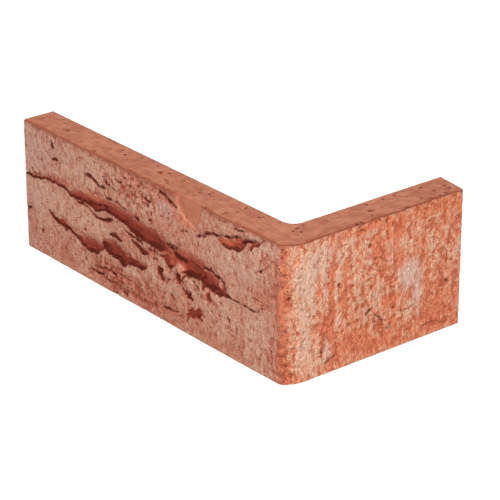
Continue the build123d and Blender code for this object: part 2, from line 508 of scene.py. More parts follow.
STRETCHER_CRACKS: tuple[Crack, ...] = cracks(
    # under and over the main fold
    (1.4, 1.5, 42, 41.6, 47.5, 40.4, 52, 41.2, 56, 40, 59, 38.8, 62, 37.6, 66, 37.3, 70, 38.2, 73,
     39.2, 77, 40), (2.2, 1.8, 69.6, 38.4, 71.5, 38.9, 74, 39.6),
    (1.5, 1.6, 84.5, 39.6, 88, 38, 90.5, 37, 93, 36.6, 96, 36.8, 99.5, 36.5, 101.2, 35.4),
    (1.4, 1.3, 104.8, 35.3, 108.2, 35), (1.2, 0.6, 108.8, 30.9, 111, 31.7, 113.4, 32),
    (1.6, 1.2, 109.6, 34.4, 110.4, 35.8), (1.4, 1, 112, 34.6, 115, 35.2, 118, 35.4),
    (2.8, 1.9, 119, 42.6, 121.5, 41.8, 124, 42, 128, 43.2),
    (2.8, 1.9, 124.5, 40.2, 127.5, 38.2, 130, 37.6, 134.5, 37.4),
    (1.1, 2.2, 134.5, 32.2, 138, 32.7, 142, 32.9, 147.5, 33.3), (2, 0.3, 137, 40, 141, 38, 146, 37),
    (2.2, 1.6, 147, 39.6, 151.5, 40, 154.5, 40.6, 156.5, 39.2, 160, 39.6, 162.8, 38.6, 164.4, 36.8,
     165.8, 32.4), (1.5, 1.6, 163.4, 61.8, 166.5, 62, 169.5, 62.8, 172.5, 64.2, 176, 65.8),
    (1.8, 1.4, 176, 62, 180, 64.2, 187, 66.6), (2.4, 1.6, 152, 31.8, 157, 30.8, 160, 31.2),
    (2.4, 1.8, 67.6, 25.6, 68.2, 22), (1.3, 1.2, 54, 44.2, 60, 43, 63, 44, 66, 45, 72, 45.2),
    (1.8, 1, 70.6, 50.2, 73, 50.8, 76, 51), (1.1, 0.7, 76, 51, 80, 51.2, 84, 50.2, 88.5, 49.7),
    (2.2, 1.6, 94.2, 47.7, 96, 47.9, 98.2, 47.5), (1.6, 0.4, 86, 46.6, 90, 46.7, 94, 47.2),
    (1.2, 1, 106, 50.8, 108.5, 51.2), (0.8, 0.6, 54.5, 50, 59, 49.8, 64, 50.2),
    (0.9, 0.9, 189.5, 31.6, 191, 34.4, 192.3, 34.6, 196, 35.4),
    # above it
    (1.7, 1.6, 52.6, 57.8, 57, 58.2, 60, 57.5, 62.5, 56.1, 65.5, 55, 68.5, 55.6, 71.5, 56),
    (1.6, 1.3, 69.8, 61.4, 70.4, 59.4, 72.6, 58.4, 75.4, 58.2),
    (1.1, 0.6, 75.4, 58.2, 79, 57.8, 82, 57), (1, 1, 79.5, 69.6, 81, 69),
    (1, 1, 81, 64.4, 83, 62.8, 85.5, 63.6), (1, 1, 86, 67, 88.5, 66.4),
    (1, 1, 86, 62.8, 87.4, 61.6), (1.2, 1.1, 102.5, 61.4, 105, 60.8, 108.4, 60.4),
    (1, 1, 104.5, 58, 107, 58), (1.2, 1, 108.2, 56, 109.4, 54.4),
    (0.9, 0.7, 97.4, 56.5, 97.2, 52.8), (2.6, 1.6, 114.8, 67.6, 116.8, 68.6),
    (2, 1.7, 116, 68.4, 118.5, 67.6, 121, 66.4, 124.5, 65.3, 128, 64.4),
    (0.8, 0.7, 115.5, 55.8, 118, 56), (1, 1, 132, 53.4, 133, 53.9),
    (0.9, 1.1, 134.6, 54, 136.6, 54.8),
    (1.7, 1.6, 144, 54.8, 146.5, 55.8, 149.4, 57, 151.6, 58.6, 154, 59.8, 157.5, 60.3, 162, 60.8),
    (1, 1, 171.4, 67.8, 173.5, 68.6, 177, 68.6, 180, 69), (1.7, 1.6, 191, 53.4, 192.6, 53.8),
    (0.9, 0.3, 187, 51.8, 192.3, 53.6, 195.8, 56.6, 199.6, 60.9, 204.5, 63.4),
    (1.3, 0.9, 186.8, 37.6, 190, 38.2),
    # at the free end
    (2.2, 1.7, 24.2, 66.8, 24.8, 64.8, 24.6, 62.4),
    (1.6, 1.2, 23.8, 55.8, 26, 57, 28, 57.8, 29.2, 56.4), (1.8, 1, 15, 54, 15.8, 53.2),
    (1.3, 0.8, 11.6, 53.6, 12.2, 53.2), (1.8, 1.3, 0.6, 21.4, 1.4, 23, 4.2, 23.7),
    (2, 1.3, 13.6, 14.4, 14.1, 13.4), (1.8, 1.5, 36, 22.8, 35.4, 20.6),
    (1.2, 0.9, 41.4, 20.9, 44.6, 20.2, 47.6, 20), (1.6, 0.7, 42, 35.6, 42.4, 34.6),
    (1.4, 0.9, 52, 27.2, 53.2, 27.6),
    # under the lower folds
    (1.1, 1.1, 50.5, 15.6, 52.2, 13.8), (1.1, 0.9, 51.6, 11, 52.6, 10.4),
    (1.3, 1.4, 55, 6.6, 60, 7, 66, 7.2, 71, 6.4, 75, 5.8),
    (1.3, 0.9, 57, 10.2, 62, 10.4, 66, 10.6, 72, 11.8, 75.5, 12.6), (1, 0.7, 68.5, 14.6, 72, 14.2),
    (1.8, 1.3, 73.5, 13.4, 76, 11.6, 79, 11.6),
    (0.9, 0.8, 74, 15, 79, 13.8, 82, 13.2, 86, 12.4, 92, 12.2), (1.4, 0.9, 76, 6.6, 79, 5.8),
    (1.2, 1.1, 80, 8.8, 84, 8.6, 87.5, 7.2, 90, 6), (1.9, 1.2, 78, 1.4, 80.5, 1.9),
    (1.1, 0.8, 83, 4.4, 88, 3), (1.4, 0.8, 93.5, 7, 94, 3), (1.2, 0.9, 96, 9, 98.5, 8.2),
    (1, 1, 101.2, 6.5, 101.4, 4), (1, 0.3, 103.8, 11.6, 104.4, 13.4, 106.5, 14.4, 109, 15.2),
    (1.7, 1.6, 109.5, 6.6, 111.5, 6.2), (1.5, 1.6, 116.6, 8.2, 119, 8.2, 121.4, 8.9, 123.6, 7.8),
    (0.8, 0.8, 123.5, 8.2, 127.5, 9.6, 131, 10), (1, 1, 130, 8.2, 131, 7.6),
    (1.2, 0.9, 136, 9.6, 136.2, 7), (1.3, 1.8, 143.2, 13.2, 145.5, 12.6, 148, 11.8),
    (2.1, 2.4, 135.5, 21, 140.2, 20.2), (1.7, 1.4, 141.2, 31.2, 143.2, 29.2, 145, 27.4),
    (1, 0.8, 132.4, 26.2, 132.8, 29, 135, 31.4, 140, 31.6),
    (1, 0.8, 120.6, 21.6, 121, 24.2, 123.6, 25.4, 126.2, 24), (0.7, 0.7, 153.6, 11.2, 153.8, 6),
    (1.5, 1.3, 167.6, 20.8, 168.8, 19.4), (1, 0.9, 166.8, 15.6, 168, 15.4),
    (0.9, 0.4, 197.6, 16.6, 199.4, 15.6, 200.1, 12, 200.2, 8),
)
STRETCHER_GOUGES: tuple[Gouge, ...] = each(
    Gouge,
    ((113.8, 29.4), (117, 21), 4.6, 2), ((128.6, 31), (130.6, 24.8), 4.8, 2),
    ((132, 23.6), (141.4, 20.6), 4, 2), ((152.4, 28.6), (153.4, 22.8), 3.6, 1.2),
    ((136, 12.4), (148, 15.4), 4.8, 1.3), ((137, 13), (137.4, 8.8), 2.4, 1),
    ((123.8, 17.6), (125, 14.4), 3.2, 1.8), ((148.8, 31.4), (149, 28.6), 1.8, 1.5),
    ((168.4, 21.8), (169.6, 19.4), 2, 1.3),
)
STRETCHER_LUMPS: tuple[Lump, ...] = each(
    Lump,
    (136.6, 27.4, 4.4, 3.6, 1.2), (122.6, 22, 2.8, 2.4, 1.1), (152.2, 30.4, 2.6, 1.8, 1.2),
    (145.5, 29.6, 2.6, 2, 0.7), (114.5, 31.8, 2.6, 1.6, 0.5), (119.6, 26.8, 2.2, 3, 0.5),
    (66, 40.4, 3.4, 1.2, 0.5), (140, 55, 9, 6, 0.2), (86, 17, 7, 2.4, 0.35),
)
STRETCHER_CRUMBLING: tuple[Crumbling, ...] = each(
    Crumbling,
    (1, 46, (96, 62), (19, 8), (1.2, 0.7), 0.5, 0.5),
    (2, 56, (82, 9), (30, 7.5), (1.3, 0.7), 0.5, 0.55),
    (3, 22, (138, 25), (24, 7), (0.9, 0.8), 0.5, 0.55),
    (4, 22, (125, 8), (22, 6), (1, 0.7), 0.4, 0.5),
    (5, 26, (140, 56), (44, 12), (0.7, 0.6), 0.3, 0.4),
    (6, 24, (40, 54), (38, 15), (0.7, 0.6), 0.3, 0.35),
    (7, 24, (60, 20), (58, 18), (0.7, 0.6), 0.3, 0.35),
    (8, 30, (186, 34), (18, 32), (0.6, 0.7), 0.3, 0.4),
)
# Nubs of clay that hang over the folds
STRETCHER_NUBS: tuple[Lump, ...] = each(
    Lump,
    (129.4, 33.2, 3.2, 1.9, 2.6, 1), (161.4, 35, 0.9, 2, 1.4, 0.85),
    (149.3, 38.6, 1.4, 0.7, 1, 0.6), (118, 36.4, 4, 0.7, 1, 0.6), (181.2, 62.9, 1.6, 0.9, 1.3, 0.9),
)
ARRIS_CHIP = Chip(
    corners=(
        (126.8, 0), (127.2, 5.5), (131, 9), (136, 11.5), (141.8, 13.2), (144, 10), (146.5, 5),
        (148.2, 0),
    ),
    depth=2.4,
)
# Where there is more sand, grey scum, fresh clay and roughness; some of the bright clay patches are
# painted highlight on lit fold floors
STRETCHER_SAND: tuple[Patch, ...] = each(
    Patch,
    (12, 30, 16, 12, 0.2), (26, 37, 16, 5, 0.3), (36, 58, 20, 8, 0.25), (60, 62, 16, 5, 0.3),
    (58, 53, 12, 2.5, 0.35), (52, 33, 14, 5, 0.3), (66, 32, 10, 5, 0.2), (88, 53, 8, 2.5, 0.25),
    (104, 56, 8, 3, 0.3), (92, 17, 8, 2.5, 0.35), (110, 24, 6, 4, 0.25), (48, 11, 6, 8, 0.25),
    (115, 18, 5, 6, 0.2), (140, 25, 8, 5, 0.2), (176, 52, 18, 8, 0.35), (196, 66, 10, 4, 0.4),
    (186, 60, 8, 6, 0.25), (160, 18, 14, 12, 0.22), (188, 20, 12, 14, 0.3), (110, 8, 30, 7, -0.4),
    (78, 9, 22, 7, -0.4), (34, 5, 10, 5, -0.3), (97, 63, 18, 7, -0.4), (120, 68, 10, 2.5, -0.4),
    (122, 50, 14, 2.5, -0.3), (203, 40, 6, 18, -0.45), (206, 30, 4, 60, -0.35),
    (200, 10, 5, 8, -0.3), (190, 39, 8, 5, -0.4), (178.6, 15, 1.4, 16, -0.35),
    (183, 56, 5, 4, -0.35), (160, 4, 20, 3.5, -0.25), (88, 32, 10, 4, -0.2),
    (108, 33.2, 4, 2.4, -0.6), (91, 48, 5, 1.6, -0.5), (28, 46.4, 12, 1.2, -0.4),
    (3, 10, 6, 14, -0.25),
)
STRETCHER_GREY: tuple[Patch, ...] = each(
    Patch,
    (8, 56, 14, 16, 0.9), (10, 30, 8, 10, 0.6), (4, 6, 8, 10, 0.4), (119, 60, 8, 3.5, 0.7),
    (198, 67, 8, 3, 0.7), (196, 23, 5, 6, 0.5), (172, 46, 20, 10, 0.35), (30, 60, 22, 9, 0.35),
)
# Bright orange patches: fresh clay, and painted highlight where fold floors catch the light
STRETCHER_FRESH_AND_LIT: tuple[Patch, ...] = each(
    Patch,
    (206, 30, 3.4, 60, 0.4), (164.8, 59.2, 3.2, 2.2, 0.9), (169.5, 60.4, 3, 2, 0.4),
    (121.6, 33.2, 2.6, 2.4, 0.8), (131, 59.6, 5, 3, 0.8), (136.5, 57, 4, 2, 0.6),
    (190, 39.5, 6, 4, 0.3), (57, 47, 14, 1.6, 0.45), (23, 46.4, 9, 1.2, 0.35),
)
STRETCHER_ROUGH: tuple[Patch, ...] = each(
    Patch,
    (96, 62, 16, 7), (85, 6, 16, 6), (70, 12, 12, 4, 0.8), (112, 36, 8, 4, 0.5),
    (30, 67, 12, 3, 0.3), (112, 10, 12, 6, 0.5), (140, 30, 22, 6, 0.35), (10, 44, 14, 3, 0.5),
)

# The header face: along from the stretcher face, height over the bed
HEADER_CRACKS: tuple[Crack, ...] = cracks(
    (1.9, 2, 50.2, 59.2, 50.8, 57.4), (1.4, 1.6, 53.8, 51.2, 54.2, 49.8),
    (1.2, 1.2, 51.6, 36.6, 52.2, 35.4), (1.2, 1.1, 27.6, 44.8, 28.2, 43.8),
    (1.1, 1.3, 31.2, 44.6, 32, 42.6), (1.2, 1.3, 36.6, 40.4, 36, 39),
    (1.3, 1.1, 13.2, 62.6, 14, 62.2), (1.2, 1.1, 18.2, 59.6, 18.8, 59),
    (1.3, 1.3, 1.4, 43.4, 3, 44.8), (1.3, 1.1, 48.6, 22.4, 50, 24.8, 52.6, 25.8),
    (1.2, 0.7, 53, 23, 56, 20.6, 60, 17.2, 62.5, 16.8, 65.6, 17.8),
    (1, 0.3, 52, 20.6, 56.5, 16, 61, 13.6, 64.5, 12), (1, 0.35, 48.8, 20, 49.2, 12, 49.6, 9.5),
    (1, 0.7, 22.5, 5.6, 26, 6.6, 31, 8.6), (1, 0.5, 84, 6.4, 90, 6.6, 94.5, 6.4, 98, 4.2, 104, 2),
    (1.2, 1.2, 60, 67.6, 61.6, 69), (1, 0.9, 44, 68, 48, 67.2), (1.2, 1.3, 65.4, 22.2, 67, 21.6),
    (0.8, 0.1, 70.4, 18.8, 76, 18.8, 80, 19.2), (1.1, 1.1, 21, 12.4, 22.4, 11.4),
    (0.8, 0.2, 17, 10, 22, 10.8), (1.2, 1.2, 99.8, 26.8, 101.6, 25),
    (1.2, 1.2, 63.6, 14.2, 64.6, 13.2), (1, 0.2, 40, 22, 37, 21, 34, 21),
)
HEADER_CRUMBLING: tuple[Crumbling, ...] = each(
    Crumbling,
    (11, 150, (55, 35), (54, 34), (0.55, 0.75), 0.3, 0.5),
    (12, 120, (3, 35), (7, 34), (0.6, 1.1), 0.45, 0.75),
    (13, 110, (55, 38), (52, 31), (1.5, 0.45), 0.3, 0.6),
)
HEADER_LUMPS: tuple[Lump, ...] = each(
    Lump,
    (55, 19.8, 3, 2.2, 0.45), (60, 15.6, 3.4, 1.8, 0.55), (65, 15.2, 3, 1.8, 0.45),
    (57.5, 28, 3.4, 6, -0.5), (62.4, 26, 2.4, 3, 0.35), (78, 32, 6, 10, 0.3),
    (27.8, 34, 1.8, 20, -0.45), (35, 33, 2, 7, -0.35), (102, 46.5, 4, 2, 0.35),
    (30, 12, 9, 2.6, 0.25),
)
HEADER_SAND: tuple[Patch, ...] = each(
    Patch,
    (16, 54, 9, 14, 0.5), (12, 30, 7, 22, 0.32), (18, 10, 9, 8, 0.32), (24, 48, 2.4, 14, 0.35),
    (31, 40, 1.6, 14, 0.5), (33, 26, 3, 6, 0.4), (26, 12, 2.4, 6, 0.45), (37, 61, 7, 7, 0.35),
    (48, 40, 6, 12, 0.15), (47, 28, 5, 5, 0.15), (75.5, 35, 3.8, 6, 0.6), (81.8, 28, 2.4, 6.5, 0.6),
    (79, 16, 5, 8, 0.28), (58, 28, 3, 9, 0.25), (57.5, 18, 5, 3, 0.25), (76, 49, 3, 4, 0.25),
    (91, 50, 3, 9, 0.25), (104, 38, 4, 10, 0.2), (52, 63, 4, 4, 0.22), (42, 4, 3, 3, 0.25),
    (27.9, 34, 1.7, 22, -1.2), (35.2, 33, 1.8, 6, -0.9), (36.5, 52, 2.4, 6, -0.3),
    (20, 44, 2, 6, -0.45), (21.5, 26, 2.4, 8, -0.4), (56, 55, 3.4, 6, -0.45), (69, 62, 4, 6, -0.45),
    (70, 47, 4, 4, -0.4), (62.5, 26, 2.6, 3, -0.7), (78.4, 27, 1.7, 3, -1), (40, 12, 12, 5, -0.45),
    (55, 6, 14, 5, -0.4), (90, 10, 16, 10, -0.3), (89, 28, 5, 6, -0.35), (92, 66, 18, 3, -0.45),
    (44, 67.5, 14, 2, -0.45), (0.5, 35, 2, 80, -0.55), (108, 50, 3, 40, -0.15),
)
HEADER_SMEAR: tuple[Patch, ...] = each(
    Patch,
    (77, 38, 5, 4, 1.2), (74.6, 33, 2.6, 5, 1), (82, 29, 2.2, 6.5, 1.3), (80, 21, 3.2, 2.6, 0.7),
    (26, 12.5, 2.4, 4, 0.5), (22, 62, 8, 5, 0.4), (10, 44, 2.4, 9, 0.4),
)
HEADER_FRESH: tuple[Patch, ...] = each(
    Patch,
    (35.4, 33, 1.6, 5, 0.5), (71, 49, 3, 3, 0.4), (1.5, 35, 2.6, 80, 0.12), (28, 30, 1.6, 20, 0.6),
    (62.5, 26.5, 2.4, 3, 0.7), (56, 56, 2.6, 5, 0.5), (69, 62, 3, 5, 0.5), (103, 66, 6, 3, 0.5),
    (92, 57, 2, 3, 0.5), (24, 3.5, 4, 2.4, 0.5), (20, 42, 2, 3, 0.4), (88, 28, 3, 3, 0.4),
)

# Pores in the sawn upper bed: distance along the leg, in from its outer face, and radius
STRETCHER_BED_PITS = (
    (4.5, 9, 0.8), (27, 9, 1), (58, 3, 1.1), (66, 14.5, 0.9), (72, 11.5, 0.8), (80.5, 16, 0.7),
    (94, 15, 0.7), (101, 11.5, 1.2), (105, 14, 1), (111, 7.5, 0.8), (113.5, 6, 0.8), (131, 13, 0.8),
    (133, 10.5, 0.8), (137.5, 13, 1), (148.5, 0.6, 1.1), (160, 5, 0.9), (162, 15, 0.8),
    (163, 9.5, 0.7), (174, 13.5, 0.9), (196, 15.5, 0.8), (44, 14, 0.6),
)
HEADER_BED_PITS = (
    (1.5, 2.4, 1.1), (18, 11, 1), (19, 15.5, 1), (46.5, 1.5, 1), (58.5, 9.5, 1.1), (60.3, 9.2, 0.8),
    (43, 0.8, 0.8), (56, 5, 0.8), (62, 16, 1), (72.5, 16, 1), (79.5, 15.5, 0.9), (96, 15, 0.9),
    (87.5, 5, 0.8), (91, 2, 0.9), (98.5, 8.5, 0.9), (101, 2.2, 1.1), (106.5, 6, 1.1),
    (106.8, 10, 1), (83.5, 11, 0.7), (35, 13, 0.7), (75, 0.8, 0.9), (41, 13, 0.6),
)
BED_SCRATCHES: tuple[Crack, ...] = cracks(
    (1, 0.5, 153, 16.5, 153.6, 12), (0.9, 0.4, 168.4, 15, 168.6, 7.6), (0.8, 0.3, 147, 8, 152, 3),
    (0.8, 0.2, 112, 16, 125, 6), (1, 0.4, 98, 13.6, 104, 10), (0.8, 0.2, 44, 6, 50, 12),
    (0.8, 0.2, 76, 3, 84, 9),
)

STRETCHER_MARKS = (
    *STRETCHER_LUMPS, *STRETCHER_CRUMBLING, *STRETCHER_FOLDS, *STRETCHER_CRACKS,
    *STRETCHER_GOUGES, *STRETCHER_NUBS,
)
HEADER_MARKS = (*HEADER_LUMPS, *HEADER_CRUMBLING, *HEADER_CRACKS)


@dataclass(frozen=True)
class Textures:
    """The noises that run through the clay, each with lumps of its own size."""

    fine: Texture = Texture((1.5, 1.5, 1.5))
    ragged: Texture = Texture((3.2, 3.2, 3.2), shift=40)
    drift: Texture = Texture((11, 11, 11), shift=90)
    teeth: Texture = Texture((2.6, 2.6, 7), 2, 51)
    broken: Texture = Texture((2.4, 2.4, 1.6), 2, 33)
    streaks: Texture = Texture((2.2, 2.2, 14), 3, 13)
    crumbs: Texture = Texture((1.7, 1.7, 2.4), 2, 5)
    ripples: Texture = Texture((7.5, 7.5, 1.8), 2, 71)
    waves: Texture = Texture((34, 34, 26), 3)
    pocks: Texture = Texture((1.6, 1.6, 2.2), shift=23)
    bed: Texture = Texture((16, 16, 16), 3)
    wear: Texture = Texture((6, 6, 200), shift=60)
    nicks: Texture = Texture((2, 2, 200), shift=63)
    sawn: Texture = Texture((7, 7, 1.6))
    rim: Texture = Texture((5, 5, 200), 3, 82)
    end: Texture = Texture((6, 6, 6), shift=30)


def plan_line(x: Array, y: Array) -> Array:
    """Points in plan from x and y, either of which may be one number for the whole line."""
    return np.stack(np.broadcast_arrays(x, y), 1)


class Side(Enum):
    """The four sides of the slip's section, in their order round it."""

    OUTER = 0
    UPPER_BED = 1
    BACK = 2
    LOWER_BED = 3


@dataclass
class Section:
    """The section of the slip as a ring of points, from the lower outer arris and round."""

    thickness: float
    height: float
    outer_step: float = 0.52
    bed_step: float = 0.8
    plain_step: float = 8
    arris: float = 0.5

    def __post_init__(self) -> None:
        """Lay the ring out, each point with its side, depth from the face, height and girth."""
        thick, high, arris = self.thickness, self.height, self.arris
        rows = even_steps(0, high, self.outer_step)
        bed = even_steps(3 * arris, thick - arris, self.bed_step)
        upper = np.concatenate([[0, arris, 2 * arris], bed, [thick - arris]])
        back = np.concatenate([[high], even_steps(high - arris, arris, self.plain_step), [arris]])
        lower = np.concatenate(
            [[thick], even_steps(thick - arris, 2 * arris, self.plain_step), [2 * arris, arris]]
        )
        self.side = np.concatenate(
            [np.full(len(run), side) for side, run in enumerate((rows, upper, back, lower))]
        )
        self.inward = np.concatenate([np.zeros(len(rows)), upper, np.full(len(back), thick), lower])
        self.level = np.concatenate([rows, np.full(len(upper), high), back, np.zeros(len(lower))])
        steps = np.hypot(np.diff(self.inward), np.diff(self.level))
        self.girth = np.concatenate([[0], np.cumsum(steps)])


@dataclass
class Sweep:
    """The line of the slip in plan: along the stretcher, round the corner and along the header."""

    low: Array
    high: Array
    thickness: float
    corner_setback: float = 4.6
    corner_bow: float = 11.5
    inner_radius: float = 6.5
    header_end_lean: float = 2.5
    stretcher_step: float = 0.5
    calm_step: float = 0.6
    header_step: float = 0.72
    header_share_step: float = 0.72 / 70
    calm_from: float = 172
    end_rounding: tuple[float, ...] = (0, 0.15, 0.4, 0.8)
    end_run: float = 1.3

    def __post_init__(self) -> None:
        """Lay the stations out, each with a point on the outer face and one on the back."""
        end_x, outer_x = self.low[0], self.high[0]
        outer_y, back_end_y = self.low[1], self.high[1]
        back_x, back_y = outer_x - self.thickness, outer_y + self.thickness
        front_end_y = back_end_y - self.header_end_lean
        hub_x, hub_y = back_x - self.inner_radius, back_y + self.inner_radius
        edge_x, bow_y = outer_x - self.corner_setback, outer_y + self.corner_bow
        tips = np.array(self.end_rounding)

        calm_x = end_x + self.calm_from
        long_run = np.concatenate(
            [
                end_x + tips,
                even_steps(end_x + self.end_run, calm_x, self.stretcher_step),
                even_steps(calm_x, hub_x, self.calm_step),
            ]
        )
        approach = even_steps(hub_x, edge_x, self.calm_step)
        radius = (self.corner_setback**2 + self.corner_bow**2) / (2 * self.corner_setback)
        turn = even_steps(-math.asin(self.corner_bow / radius), 0, self.stretcher_step / radius)
        leave = even_steps(bow_y, hub_y, self.header_step)
        header_length = front_end_y - hub_y
        short_share = np.concatenate(
            [
                even_steps(0, 1 - self.end_run / header_length, self.header_share_step),
                1 - np.append(self.end_run, tips[::-1]) / header_length,
            ]
        )
        self.outer = np.concatenate(
            [
                plan_line(long_run, outer_y),
                plan_line(approach, outer_y),
                plan_line(outer_x - radius + radius * np.cos(turn), bow_y + radius * np.sin(turn)),
                plan_line(outer_x, leave),
                plan_line(outer_x, hub_y + header_length * short_share),
            ]
        )
        bends = np.linspace(0, math.pi / 2, len(approach) + len(turn) + len(leave), False)
        inner = self.inner_radius
        self.back = np.concatenate(
            [
                plan_line(long_run, back_y),
                plan_line(hub_x + inner * np.sin(bends), hub_y - inner * np.cos(bends)),
                plan_line(back_x, hub_y + (back_end_y - hub_y) * short_share),
            ]
        )
        eased = self.outer.copy()
        for _ in range(2):
            eased[1:-1] = (eased[:-2] + 2 * eased[1:-1] + eased[2:]) / 4
        near_edge = np.hypot(*(self.outer - (edge_x, outer_y)).T) < 3
        self.outer = np.where(near_edge[:, None], eased, self.outer)

        steps = np.hypot(*np.diff(self.outer, axis=0).T)
        self.run = np.concatenate([[0], np.cumsum(steps)])
        self.from_end = np.minimum(self.run, self.run[-1] - self.run)
        self.edge_run = self.run[len(long_run) + len(approach)]
        self.header_share = smooth_step((self.run - self.edge_run) / 0.9 + 0.5)


@dataclass
class CornerBrick:
    """The slip: one mesh swept along its plan, with relief and wear, in place of the CAD node."""

    low: Array
    high: Array
    thickness: float = 19
    face_inset: float = 0.45
    bed_inset: float = 0.08
    top_arris: float = 0.9
    foot_arris: float = 0.35
    back_arris: float = 0.5
    rim_height: float = 2.3
    stretcher_shift: tuple[float, float] = (1, 0.8)
    header_shift: tuple[float, float] = (-0.6, 0.5)
    brushed_from: float = 184
    brushed_run: float = 16
    wave_height: float = 0.18
    stretcher_sanding: float = 0.46
    header_sanding: float = 0.36
    header_sand_gain: float = 1.9
    header_roughness: float = 0.16
    pit_depth: float = 0.5
    wear_reach: float = 6
    saw_waver: float = 0.04
    back_inset: float = 0.12
    end_dent: float = 0.1
    end_rings: tuple[float, ...] = (0.985, 0.93, 0.72, 0.45)
    textures: Textures = Textures()
    noise: ClayNoise = field(default_factory=lambda: ClayNoise(7))

    def __post_init__(self) -> None:
        """Work out the section and the plan from the CAD box."""
        self.height = float(self.high[2] - self.low[2])
        self.section = Section(self.thickness, self.height)
        self.sweep = Sweep(self.low, self.high, self.thickness)
        shape = (len(self.sweep.outer), len(self.section.side))
        self.side = np.broadcast_to(self.section.side, shape)
        self.inward = np.broadcast_to(self.section.inward, shape).copy()
        self.level = np.broadcast_to(self.section.level, shape).copy()
        self.header = np.broadcast_to(self.sweep.header_share[:, None], shape)
        self.rest = self._place(self.inward, self.level)

    def _place(self, inward: Array, level: Array) -> Array:
        """Turn section places into points in space, in millimetres.

        Args:
            inward: distance of each point from the outer face.
            level: height of each point.

        Returns:
            One x, y, z for each station and ring point.
        """
        outer = self.sweep.outer[:, None, :]
        across = (self.sweep.back - self.sweep.outer)[:, None, :]
        plan = outer + across * (inward / self.thickness)[..., None]
        return np.concatenate([plan, level[..., None] + self.low[2]], axis=-1)

    def _join(self, on_stretcher: Array, on_header: Array) -> Array:
        """Join what the two faces have, across the outer corner."""
        return (1 - self.header) * on_stretcher + self.header * on_header

    def _skin(self) -> dict[str, Array]:
        """Work out the moulded outer skin, as if every point were on the outer face.

        Returns:
            How far the clay stands out, and the named values that colour it.
        """
        outer = self._place(np.zeros_like(self.inward), self.level)
        along, across = outer[..., 0] - self.low[0], outer[..., 1] - self.low[1]
        level, header = self.level, self.header
        here = 1 - header

        fine, coarse, drift, teeth, broken, streaks, crumbs, ripples, waves, pocks = (
            self.noise.at(outer, texture)
            for texture in (
                self.textures.fine, self.textures.ragged, self.textures.drift,
                self.textures.teeth, self.textures.broken, self.textures.streaks,
                self.textures.crumbs, self.textures.ripples, self.textures.waves,
                self.textures.pocks,
            )
        )
        ragged = 0.45 * coarse + 0.42 * fine
        drift = 0.5 * drift

        shift = self.stretcher_shift
        stretcher = Relief(
            along + shift[0] + 0.6 * ragged + 0.5 * drift,
            level + shift[1],
            0.9 * ragged + 0.3 * drift + 0.35 * teeth,
            broken,
        )
        for mark in STRETCHER_MARKS:
            mark.press(stretcher)
        shift = self.header_shift
        header_face = Relief(across + shift[0] + 0.6 * ragged, level + shift[1], ragged, broken)
        for mark in HEADER_MARKS:
            mark.press(header_face)

        rough = here * total_of(STRETCHER_ROUGH, along, level) + self.header_roughness * header
        brushed = 0.8 * smooth_step((along - self.brushed_from) / self.brushed_run)
        brushed = unit(header + brushed)
        calm = 0.35 + 0.65 * smooth_step((self.height - level) / 2)
        calm = smooth_step((level - 0.3) / 2.2) * calm
        pocks = smooth_step((pocks - 0.36) / 0.3)

        grainy = calm * ((0.2 + 0.1 * brushed + 0.44 * rough) * crumbs + 0.22 * brushed * streaks)
        grainy += 0.3 * here * rough * ripples - (0.14 + 0.45 * rough) * pocks
        bare = here * stretcher.fold
        grainy *= 1 - 0.6 * bare

        face = Relief(along, level, ragged, broken)
        face.out = self._join(stretcher.out, header_face.out) + self.wave_height * waves + grainy
        face.fold = self._join(stretcher.fold, header_face.fold)
        face.painted_shade = self._join(stretcher.painted_shade, header_face.painted_shade)
        facet = ARRIS_CHIP.press(face, self.height)

        loose_along, loose_level = along + 3 * drift + 2 * ragged, level + 3 * drift + ragged
        loose_across = across + 1.6 * drift + 1.2 * ragged
        sand, fresh_and_lit, grey = (
            total_of(patches, loose_along, loose_level)
            for patches in (STRETCHER_SAND, STRETCHER_FRESH_AND_LIT, STRETCHER_GREY)
        )
        brushed_sand = self.header_sand_gain * total_of(HEADER_SAND, loose_across, level)
        smear = total_of(HEADER_SMEAR, loose_across, level + 1.5 * drift + ragged)
        rim_edge = self.height - self.rim_height * (1 + 0.9 * ragged - 0.35 * header)
        edges = smooth_step(np.minimum(level, self.sweep.from_end[:, None]) / 4)
        from_edge = (self.sweep.run - self.sweep.edge_run)[:, None]
        turned = from_edge / 4 + 0.5 + 1.4 * ragged
        corner = np.exp(-(((from_edge - 2 + 1.5 * drift) / 3.4) ** 2))
        return {
            "out": face.out - self.face_inset * (0.3 + 0.7 * edges),
            "header": smooth_step(turned),
            "fold": face.fold,
            "painted_shade": face.painted_shade * (1 - 0.2 * header),
            "facet": facet,
            "sand": self._join(self.stretcher_sanding + sand, self.header_sanding + brushed_sand),
            "fresh_and_lit": self._join(fresh_and_lit, total_of(HEADER_FRESH, loose_across, level)),
            "grey": self._join(grey, smear),
            "rough": rough,
            # hollow: how far a point lies in a hollow of the relief; it paints shade into hollows
            # and gives ridges more sand
            "hollow": np.clip(-grainy / 0.3, -1, 1) * (1 - facet),
            "rim": np.maximum(smooth_step((level - rim_edge) / 0.9), 0.35 * corner),
        }

    def _bed(self) -> tuple[Array, Array]:
        """Work out the cut upper bed.

        Returns:
            How far each point stands out of the bed, and how much painted shade darkens the pore or
            scratch it lies in.
        """
        along = self.rest[..., 0] - self.low[0]
        across = self.rest[..., 1] - self.low[1]
        from_header_face = self.high[0] - self.rest[..., 0]
        out = 0.06 * self.noise.at(self.rest, self.textures.bed)
        dark = np.zeros(along.shape)
        for pits, run, inward in (
            (STRETCHER_BED_PITS, along, across),
            (HEADER_BED_PITS, across, from_header_face),
        ):
            for place, depth_in, radius in pits:
                away = np.hypot(run - place, inward - depth_in) / radius
                out -= self.pit_depth * np.exp(-(away**2))
                dark = np.maximum(dark, np.exp(-((0.85 * away) ** 3)))
        calm = np.zeros(along.shape)
        scratched = Relief(along, across, calm, calm)
        for scratch in BED_SCRATCHES:
            scratch.press(scratched)
        return out + scratched.out, np.maximum(0.8 * dark, 0.7 * scratched.painted_shade)

